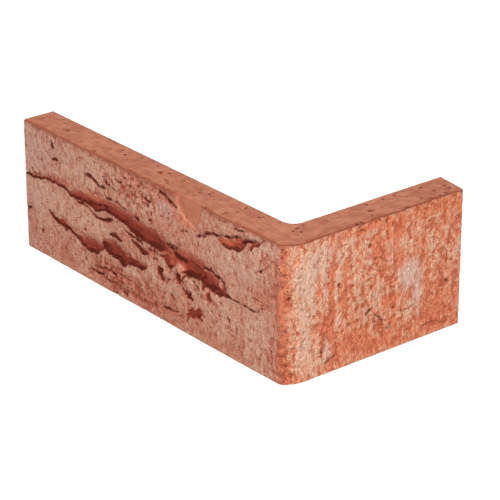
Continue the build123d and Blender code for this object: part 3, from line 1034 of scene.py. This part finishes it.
    def _round_arrises(self) -> None:
        """Ease the four long edges of the section."""
        worn = 0.5 + 0.4 * self.noise.at(self.rest, self.textures.wear)
        worn += 0.9 * self.noise.at(self.rest, self.textures.nicks) ** 2
        depth_in, level = self.inward.copy(), self.level.copy()
        for radius, back_side, upper_side in (
            (self.top_arris * (0.5 + 1.1 * worn), False, True),
            (self.foot_arris * (0.5 + 1 * worn), False, False),
            (np.full(level.shape, self.back_arris), True, True),
            (np.full(level.shape, self.back_arris), True, False),
        ):
            from_face = self.thickness - depth_in if back_side else depth_in
            from_bed = self.height - level if upper_side else level
            in_x, in_z = radius - from_face, radius - from_bed
            reach = np.hypot(in_x, in_z)
            outside = (in_x > 0) & (in_z > 0) & (reach > radius)
            pull = np.where(outside, (reach - radius) / np.maximum(reach, 1e-6), 0)
            self.inward += pull * in_x * (-1 if back_side else 1)
            self.level += pull * in_z * (-1 if upper_side else 1)

    def shape(self) -> tuple[Array, dict[str, Array]]:
        """Work out where every point of the mesh goes, and how it is coloured.

        Returns:
            The points in millimetres, by station and ring, and the named values at each.
        """
        skin = self._skin()
        bed_out, bed_shade = self._bed()
        outer, upper, back, lower = (self.side == side.value for side in Side)

        out = np.minimum(skin.pop("out"), 0)
        at_top = out[:, np.count_nonzero(outer[0]) - 1][:, None]
        at_foot = out[:, 0][:, None]
        sawn = self.saw_waver * self.noise.at(self.rest, self.textures.sawn) - self.back_inset
        depth_in, level = self.inward.copy(), self.level.copy()
        self._round_arrises()

        fade = unit(1 - depth_in / self.wear_reach) ** 1.5
        self.inward += np.where(outer, -out, 0)
        self.inward += np.where(upper, -at_top * fade, 0)
        self.inward += np.where(lower, -at_foot * fade, 0)
        self.inward += np.where(back, sawn, 0)
        self.level += np.where(upper, np.minimum(bed_out - self.bed_inset, 0), 0)
        near_top = unit(1 - (self.height - level) / self.wear_reach)
        self.level += np.where(outer | back, -self.bed_inset * near_top, 0)

        ease = np.clip(self.foot_arris - self.sweep.from_end, 0, None)[:, None]
        tuck = self.foot_arris - np.sqrt(self.foot_arris**2 - ease**2)
        self.inward += np.where(outer, tuck, 0)
        self.inward += np.where(upper | lower, tuck * unit(1 - depth_in / 3), 0)

        points = np.clip(self._place(self.inward, self.level), self.low, self.high)
        values = {name: np.where(outer, value, 0) for name, value in skin.items()}
        # The upper bed takes the painted shade of its pores and scratches.
        values["painted_shade"] = np.where(upper, bed_shade, values["painted_shade"])
        facet_top = values["facet"][:, np.count_nonzero(outer[0]) - 1][:, None]
        width = np.clip(1.3 + 1.5 * self.noise.at(self.rest, self.textures.rim), 0.4, 4)
        band = np.exp(-((depth_in / width) ** 2)) * (1 - facet_top)
        values["rim"] = np.where(upper, band, values["rim"] * (1 - values["facet"]))
        values["cut"] = np.where(outer, 0, 1)
        values["run"] = np.broadcast_to(self.sweep.run[:, None], depth_in.shape)
        values["girth"] = np.broadcast_to(self.section.girth, depth_in.shape)
        return points, values

    def build(self) -> bpy.types.Object:
        """Write the mesh.

        Returns:
            The brick, riding on the row's body in place of the CAD node.
        """
        points, values = self.shape()
        stations, ring = points.shape[:2]
        index = np.arange(stations * ring).reshape(stations, ring)
        after = np.roll(index, -1, axis=1)
        walls = np.stack([index[:-1], index[1:], after[1:], after[:-1]], axis=-1).reshape(-1, 4)

        all_points = [points.reshape(-1, 3)]
        all_values = {name: [value.reshape(-1)] for name, value in values.items()}
        quads = [walls]
        caps: list[list[int]] = []
        count = stations * ring
        for end, outward in ((0, 1), (stations - 1, -1)):
            rim = index[end]
            middle = points[end].mean(axis=0)
            normal_axis = 0 if end == 0 else 1
            cap_values = {"cut": np.ones(ring), "run": points[end][:, 2], "girth": self.inward[end]}
            for shrink in self.end_rings:
                inner = middle + (points[end] - middle) * shrink
                dent = self.end_dent * (self.noise.at(inner, self.textures.end) + 1)
                inner[:, normal_axis] += outward * dent
                new = np.arange(count, count + ring)
                count += ring
                all_points.append(inner)
                for name, parts in all_values.items():
                    parts.append(cap_values.get(name, np.zeros(ring)))
                next_rim, next_new = np.roll(rim, -1), np.roll(new, -1)
                strip = np.stack([rim, next_rim, next_new, new], axis=-1)
                quads.append(strip if outward == 1 else strip[:, ::-1])
                rim = new
            caps.append(list(rim) if outward == 1 else list(rim[::-1]))

        vertices = np.concatenate(all_points) * MM
        faces = [tuple(face) for face in np.concatenate(quads).tolist()] + [tuple(c) for c in caps]
        mesh = bpy.data.meshes.new("corner_brick_clay")
        mesh.from_pydata(vertices.tolist(), [], faces)
        for name, parts in all_values.items():
            layer = mesh.attributes.new(name, "FLOAT", "POINT")
            layer.data.foreach_set("value", np.concatenate(parts).astype(np.float32))
        mesh.shade_smooth()
        mesh.update()
        brick = bpy.data.objects.new("facing_brick", mesh)
        bpy.context.scene.collection.objects.link(brick)
        brick.data.materials.append(FiredClay().material())
        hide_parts(NODE)
        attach(brick, "root")
        return brick


class Term:
    """A shader value that can be written in an expression; each operation adds a Math node."""

    def __init__(self, nodes: "NodeMaker", socket: bpy.types.NodeSocket) -> None:
        """Wrap a socket.

        Args:
            nodes: the maker that adds the nodes.
            socket: the output that carries the value.
        """
        self.nodes = nodes
        self.socket = socket

    def _math(self, operation: str, first: Any, second: Any) -> "Term":
        """Add a Math node for one operation on two values."""
        made = self.nodes.node("ShaderNodeMath", {"operation": operation}, {0: first, 1: second})
        return Term(self.nodes, made.outputs[0])

    def __add__(self, other: Any) -> "Term":
        """Add."""
        return self._math("ADD", self, other)

    def __radd__(self, other: Any) -> "Term":
        """Add to a number."""
        return self._math("ADD", other, self)

    def __sub__(self, other: Any) -> "Term":
        """Subtract."""
        return self._math("SUBTRACT", self, other)

    def __rsub__(self, other: Any) -> "Term":
        """Subtract from a number."""
        return self._math("SUBTRACT", other, self)

    def __mul__(self, other: Any) -> "Term":
        """Multiply."""
        return self._math("MULTIPLY", self, other)

    def __rmul__(self, other: Any) -> "Term":
        """Multiply a number."""
        return self._math("MULTIPLY", other, self)

    def between(self, low: float, high: float) -> "Term":
        """Stretch a range over 0 to 1, eased and held at its ends.

        Args:
            low: the value that gives 0.
            high: the value that gives 1.

        Returns:
            The stretched value.
        """
        sockets = {"Value": self, "From Min": low, "From Max": high}
        made = self.nodes.node("ShaderNodeMapRange", {"interpolation_type": "SMOOTHSTEP"}, sockets)
        return Term(self.nodes, made.outputs[0])


class NodeMaker:
    """Adds nodes to a node tree."""

    def __init__(self, tree: bpy.types.NodeTree) -> None:
        """Start from an empty tree.

        Args:
            tree: the node tree of a material or of the world.
        """
        self.tree = tree
        tree.nodes.clear()

    def node(self, kind: str, settings: dict[str, Any], sockets: dict[Any, Any]) -> bpy.types.Node:
        """Add one node.

        Args:
            kind: Blender's name for the node type.
            settings: what is set on the node itself, before its sockets.
            sockets: a value, socket, node or Term for each input, by name or number.

        Returns:
            The new node.
        """
        made = self.tree.nodes.new(kind)
        for name, value in settings.items():
            setattr(made, name, value)
        for name, value in sockets.items():
            if isinstance(value, Term):
                value = value.socket
            if isinstance(value, bpy.types.Node):
                value = value.outputs[0]
            if isinstance(value, bpy.types.NodeSocket):
                self.tree.links.new(value, made.inputs[name])
            else:
                made.inputs[name].default_value = value
        return made

    def value(self, name: str) -> Term:
        """A value painted on the mesh."""
        made = self.node("ShaderNodeAttribute", {"attribute_name": name}, {})
        return Term(self, made.outputs["Fac"])

    def place(self, stretch: Grain = (1, 1, 1)) -> bpy.types.NodeSocket:
        """Read the places on the object in millimetres.

        Args:
            stretch: scale along each axis; a small one draws a noise out that way.

        Returns:
            The socket of the scaled places.
        """
        where = self.node("ShaderNodeTexCoord", {}, {}).outputs["Object"]
        scale = tuple(part / MM for part in stretch)
        return self.node("ShaderNodeMapping", {}, {"Vector": where, "Scale": scale}).outputs[0]

    def noise(self, where: Any, grain_mm: float, detail: float, rough: float = 0.6) -> Term:
        """Noise whose lumps are about grain_mm across."""
        sockets = {"Vector": where, "Scale": 1 / grain_mm, "Detail": detail, "Roughness": rough}
        return self.term("ShaderNodeTexNoise", sockets)

    def term(self, kind: str, sockets: dict[Any, Any]) -> Term:
        """Add a node without settings, and give its first output as a value for expressions."""
        return Term(self, self.node(kind, {}, sockets).outputs[0])

    def mix(self, factor: Any, first: Any, second: Any) -> Any:
        """Mix two colours.

        Args:
            factor: how much of the second, 0 to 1.
            first: the first colour or its socket.
            second: the second colour or its socket.

        Returns:
            The socket of the mixed colour.
        """
        made = self.node("ShaderNodeMix", {"data_type": "RGBA"}, {0: factor, 6: first, 7: second})
        return made.outputs[2]


@dataclass(frozen=True)
class FiredClay:
    """The finish: red-orange clay, a sanded buff skin, bare red folds and a cut brown edge, with
    painted shade in slits, fold lips, gouges and pits and painted highlight on some fold floors.
    """

    rose: Colour = paint(204, 122, 97)
    orange: Colour = paint(249, 146, 104)
    buff: Colour = paint(226, 175, 147)
    header_buff: Colour = paint(255, 200, 165)
    pale: Colour = paint(248, 206, 182)
    grey_pink: Colour = paint(216, 174, 160)
    header_smear: Colour = paint(242, 204, 186)
    fold_red: Colour = paint(212, 112, 85)
    # fold_dark: bare red clay as it looks in painted shade deep in a fold
    fold_dark: Colour = paint(176, 73, 53)
    fresh_clay_and_highlight: Colour = paint(240, 128, 86)
    fleck: Colour = paint(166, 80, 54)
    header_fleck: Colour = paint(192, 84, 50)
    # slit: the dark red-brown of painted shade in slits, fold lips, gouges and pits; it also gives
    # dark flecks on fold floors.
    slit: Colour = paint(98, 30, 14)
    cut_brown: Colour = paint(174, 103, 79)
    cut_light: Colour = paint(200, 131, 101)
    rim_red: Colour = paint(162, 82, 58)
    grit: Colour = paint(112, 56, 40)
    bump_height: float = 1.6
    roughness: float = 0.88
    specular: float = 0.2

    def _skin(self, nodes: NodeMaker, grains: dict[str, Term]) -> Any:
        """Colour the moulded skin.

        Args:
            nodes: the maker that adds the nodes.
            grains: the noises that the colours are broken up with.

        Returns:
            The socket of the colour.
        """
        sand, header, rough = nodes.value("sand"), nodes.value("header"), nodes.value("rough")
        grain, mottle, clouds = grains["grain"], grains["mottle"], grains["clouds"]
        streak, fine, flecks = grains["streak"], grains["fine"], grains["flecks"]

        body = nodes.mix(header, self.rose, self.orange)
        sanding = nodes.mix(header, self.buff, self.header_buff)
        fleck = nodes.mix(header, self.fleck, self.header_fleck)
        uneven = 0.5 * (grain - 0.5) + (fine - 0.5) * (0.7 - 0.3 * header)
        uneven = uneven + (mottle - 0.5) * (0.4 + 0.7 * header)
        uneven = uneven + (streak - 0.5) * (0.3 + 0.9 * header)
        ridge = 0 - nodes.value("hollow")
        cover = sand + uneven * 2 + ridge * 0.35
        skin = nodes.mix(cover.between(-0.1, 1), body, sanding)
        skin = nodes.mix((cover + clouds - 0.5).between(0.75, 1.5) * 0.8, skin, self.pale)
        smear = nodes.mix(header, self.grey_pink, self.header_smear)
        skin = nodes.mix(nodes.value("grey") * (0.35 + 0.6 * mottle), skin, smear)
        # Bright clay: fresh clay, and painted highlight on lit fold floors.
        skin = nodes.mix(nodes.value("fresh_and_lit") * (0.6 + 0.9 * (grain - 0.5)), skin, self.fresh_clay_and_highlight)
        # Painted shade: hollows in the mesh relief take the darker fleck colour, with random flecks
        # from the fine noise.
        depth = nodes.value("hollow") * 0.9 + (0.5 - fine) * 2
        solid = header * sand.between(0.65, 1.35)
        hollow_shade_and_flecks = depth.between(0.2, 0.95) * (0.7 + 0.3 * rough - 0.25 * solid)
        skin = nodes.mix(hollow_shade_and_flecks, skin, fleck)
        skin = nodes.mix(flecks * (0.4 + 0.25 * header - 0.35 * solid), skin, fleck)
        skin = nodes.mix(fine.between(0.54, 0.7) * (0.25 + 0.2 * header), skin, self.pale)
        skin = nodes.mix(header * nodes.value("grey") * (0.3 + 0.25 * grain), skin, smear)
        return nodes.mix(nodes.value("rim") * (0.6 + 1.2 * (grain - 0.5)), skin, self.rim_red)

    def material(self) -> bpy.types.Material:
        """Make the material.

        Returns:
            The finished clay.
        """
        material = bpy.data.materials.new("fired_clay")
        material.use_nodes = True
        nodes = NodeMaker(material.node_tree)
        where, upright = nodes.place(), nodes.place((1, 1, 0.15))
        grains = {
            "fine": nodes.noise(where, 0.6, 2),
            "grain": nodes.noise(where, 1.1, 4, 0.68),
            "mottle": nodes.noise(where, 4.5, 5),
            "clouds": nodes.noise(where, 22, 3),
            "streak": nodes.noise(upright, 1.9, 4),
        }
        crumbs = nodes.noise(nodes.place((1, 1, 0.6)), 0.85, 3, 0.7)
        grains["flecks"] = 1 - crumbs.between(0.38, 0.54)

        specks = nodes.node("ShaderNodeTexVoronoi", {}, {"Vector": where, "Scale": 0.3})
        chance = nodes.term("ShaderNodeSeparateColor", {0: specks.outputs["Color"]})
        grit = 1 - Term(nodes, specks.outputs["Distance"]).between(0.08, 0.2)
        grit = grit * chance.between(0.64, 0.66)

        fold, painted_shade = nodes.value("fold"), nodes.value("painted_shade")
        cut, facet = nodes.value("cut"), nodes.value("facet")
        grain, streak, mottle = grains["grain"], grains["streak"], grains["mottle"]

        skin = self._skin(nodes, grains)
        # Fold floors: bare red clay, darker where fold is strong near the lip as painted shade, and
        # mottled at random.
        deep = fold + (mottle - 0.5) * 0.8 + (streak - 0.5) * 0.5
        floor = nodes.mix(deep.between(0.15, 0.8), self.fold_red, self.fold_dark)
        floor = nodes.mix(grains["flecks"] * 0.35, floor, self.slit)
        floor = nodes.mix(grains["fine"].between(0.54, 0.7) * 0.3, floor, self.rose)
        # Painted highlight on lit fold floors, with fresh clay.
        floor = nodes.mix(nodes.value("fresh_and_lit"), floor, self.fresh_clay_and_highlight)
        bare = (fold + (grain - 0.5) * 0.7 + (streak - 0.5) * 0.5).between(0.08, 0.42)
        skin = nodes.mix(bare * fold.between(0, 0.2), skin, floor)

        brush_sockets = {0: nodes.value("run") * 0.07, 1: nodes.value("girth")}
        brush = nodes.noise(nodes.term("ShaderNodeCombineXYZ", brush_sockets), 0.9, 4)
        tone = 0.45 * mottle + 0.2 * grains["clouds"] + 0.35 * brush
        sawn = nodes.mix(tone.between(0.4, 0.6), self.cut_brown, self.cut_light)
        sawn = nodes.mix(nodes.value("rim") * cut * (0.5 + mottle), sawn, self.rim_red)
        sawn = nodes.mix(facet * 0.5, sawn, self.rim_red)
        smooth = nodes.term("ShaderNodeClamp", {0: cut + facet * 0.82})
        colour = nodes.mix(smooth, skin, sawn)
        colour = nodes.mix(grit * 0.7, colour, self.grit)
        # Painted shade: slits, fold lips, gouges and pits take the slit colour.
        colour = nodes.mix(painted_shade.between(0.05, 0.95), colour, self.slit)

        header = nodes.value("header")
        relief = grain * (1 + 0.15 * header) + 0.5 * mottle + 0.5 * crumbs
        relief = relief + streak * (0.15 + 0.75 * header)
        bumps = relief * (1 - 0.75 * smooth) + 0.25 * brush * smooth - 0.5 * grit
        bump_sockets = {"Strength": 1, "Distance": self.bump_height * MM, "Height": bumps}
        bump = nodes.node("ShaderNodeBump", {}, bump_sockets)
        shader = nodes.node(
            "ShaderNodeBsdfPrincipled",
            {},
            {
                "Base Color": colour,
                "Roughness": self.roughness + 0.08 * (grain - 0.5),
                "Normal": bump,
                "Specular IOR Level": self.specular,
            },
        )
        nodes.node("ShaderNodeOutputMaterial", {}, {"Surface": shader})
        return material


@dataclass(frozen=True)
class Lamp:
    """A square soft lamp: its place and its side in metres, and its power in watts."""

    name: str
    place: tuple[float, float, float]
    size: float
    watts: float


@dataclass(frozen=True)
class Studio:
    """The pale floor, the soft lights and the camera at the photograph's angle."""

    azimuth: float = 50.733
    elevation: float = 24.209
    distance: float = 1.1508
    target: tuple[float, float, float] = (0.025724, -0.012953, 0.030625)
    focal_pixels: float = 2343.3
    frame_pixels: float = 500
    sensor: float = 36
    floor_half: float = 3
    world_light: float = 0.46
    floor_tone: float = 0.35
    floor_seen: float = 0.98
    floor_glow: float = 0.3
    near_clip: float = 0.05
    lamps: tuple[Lamp, ...] = (
        Lamp("key", (1.06, -0.73, 0.74), 0.6, 21),
        Lamp("top", (-0.5, -0.8, 1.00), 0.8, 4),
    )

    def build(self) -> None:
        """Set up the floor, the world, the lamps and the camera."""
        self._floor()
        self._world()
        for lamp in self.lamps:
            self._hang(lamp)
        self._camera()
        bpy.context.scene.view_settings.view_transform = "Standard"

    def _floor(self) -> None:
        """Lay the pale floor, darker for the light it throws back than for the camera."""
        half = self.floor_half
        mesh = bpy.data.meshes.new("floor")
        corners = [(-half, -half, 0), (half, -half, 0), (half, half, 0), (-half, half, 0)]
        mesh.from_pydata(corners, [], [(0, 1, 2, 3)])
        floor = bpy.data.objects.new("floor", mesh)
        bpy.context.scene.collection.objects.link(floor)
        material = bpy.data.materials.new("studio_floor")
        material.use_nodes = True
        nodes = NodeMaker(material.node_tree)
        seen = nodes.term("ShaderNodeLightPath", {})
        tone = nodes.mix(seen, (*[self.floor_tone] * 3, 1), (*[self.floor_seen] * 3, 1))
        glow = nodes.node("ShaderNodeEmission", {}, {"Strength": seen * self.floor_glow})
        shader = nodes.node("ShaderNodeBsdfDiffuse", {}, {"Color": tone})
        both = nodes.node("ShaderNodeAddShader", {}, {0: shader, 1: glow})
        nodes.node("ShaderNodeOutputMaterial", {}, {"Surface": both})
        floor.data.materials.append(material)
        floor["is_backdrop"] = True

    def _world(self) -> None:
        """Light the studio evenly, and show the camera a white background."""
        world = bpy.data.worlds.new("studio")
        world.use_nodes = True
        nodes = NodeMaker(world.node_tree)
        seen = nodes.term("ShaderNodeLightPath", {})
        strength = self.world_light + seen * (1 - self.world_light)
        sockets = {"Color": (1, 1, 1, 1), "Strength": strength}
        light = nodes.node("ShaderNodeBackground", {}, sockets)
        nodes.node("ShaderNodeOutputWorld", {}, {"Surface": light})
        bpy.context.scene.world = world

    def _hang(self, lamp_kind: Lamp) -> None:
        """Hang one lamp, aimed at the brick.

        Args:
            lamp_kind: its name, place, size and power.
        """
        data = bpy.data.lights.new(lamp_kind.name, "AREA")
        data.size = lamp_kind.size
        data.energy = lamp_kind.watts
        lamp = bpy.data.objects.new(lamp_kind.name, data)
        aim = Vector(self.target) - Vector(lamp_kind.place)
        lamp.location = lamp_kind.place
        lamp.rotation_euler = aim.to_track_quat("-Z", "Y").to_euler()
        bpy.context.scene.collection.objects.link(lamp)

    def _camera(self) -> None:
        """Stand the camera where the photograph was taken from."""
        turn, tilt = math.radians(self.azimuth), math.radians(self.elevation)
        flat = math.cos(tilt)
        back = Vector((math.sin(turn) * flat, -math.cos(turn) * flat, math.sin(tilt)))
        right = Vector((math.cos(turn), math.sin(turn), 0))
        up = back.cross(right)
        data = bpy.data.cameras.new("camera")
        data.sensor_width = self.sensor
        data.lens = self.focal_pixels * self.sensor / self.frame_pixels
        data.clip_start = self.near_clip
        camera = bpy.data.objects.new("camera", data)
        place = Vector(self.target) + back * self.distance
        turned = Matrix((right, up, back)).transposed().to_4x4()
        camera.matrix_world = Matrix.Translation(place) @ turned
        bpy.context.scene.collection.objects.link(camera)
        bpy.context.scene.camera = camera


def main() -> None:
    """Build the brick and the studio."""
    logging.basicConfig(level=logging.INFO, format="%(message)s")
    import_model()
    cad_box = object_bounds()
    low, high = (np.array(list(corner)) / MM for corner in cad_box)

    brick = CornerBrick(low, high).build()
    logging.info("%s: %d faces", brick.name, len(brick.data.polygons))
    Studio().build()
    logging.info("studio: floor, world, lamps and camera")


if __name__ == "__main__":
    main()
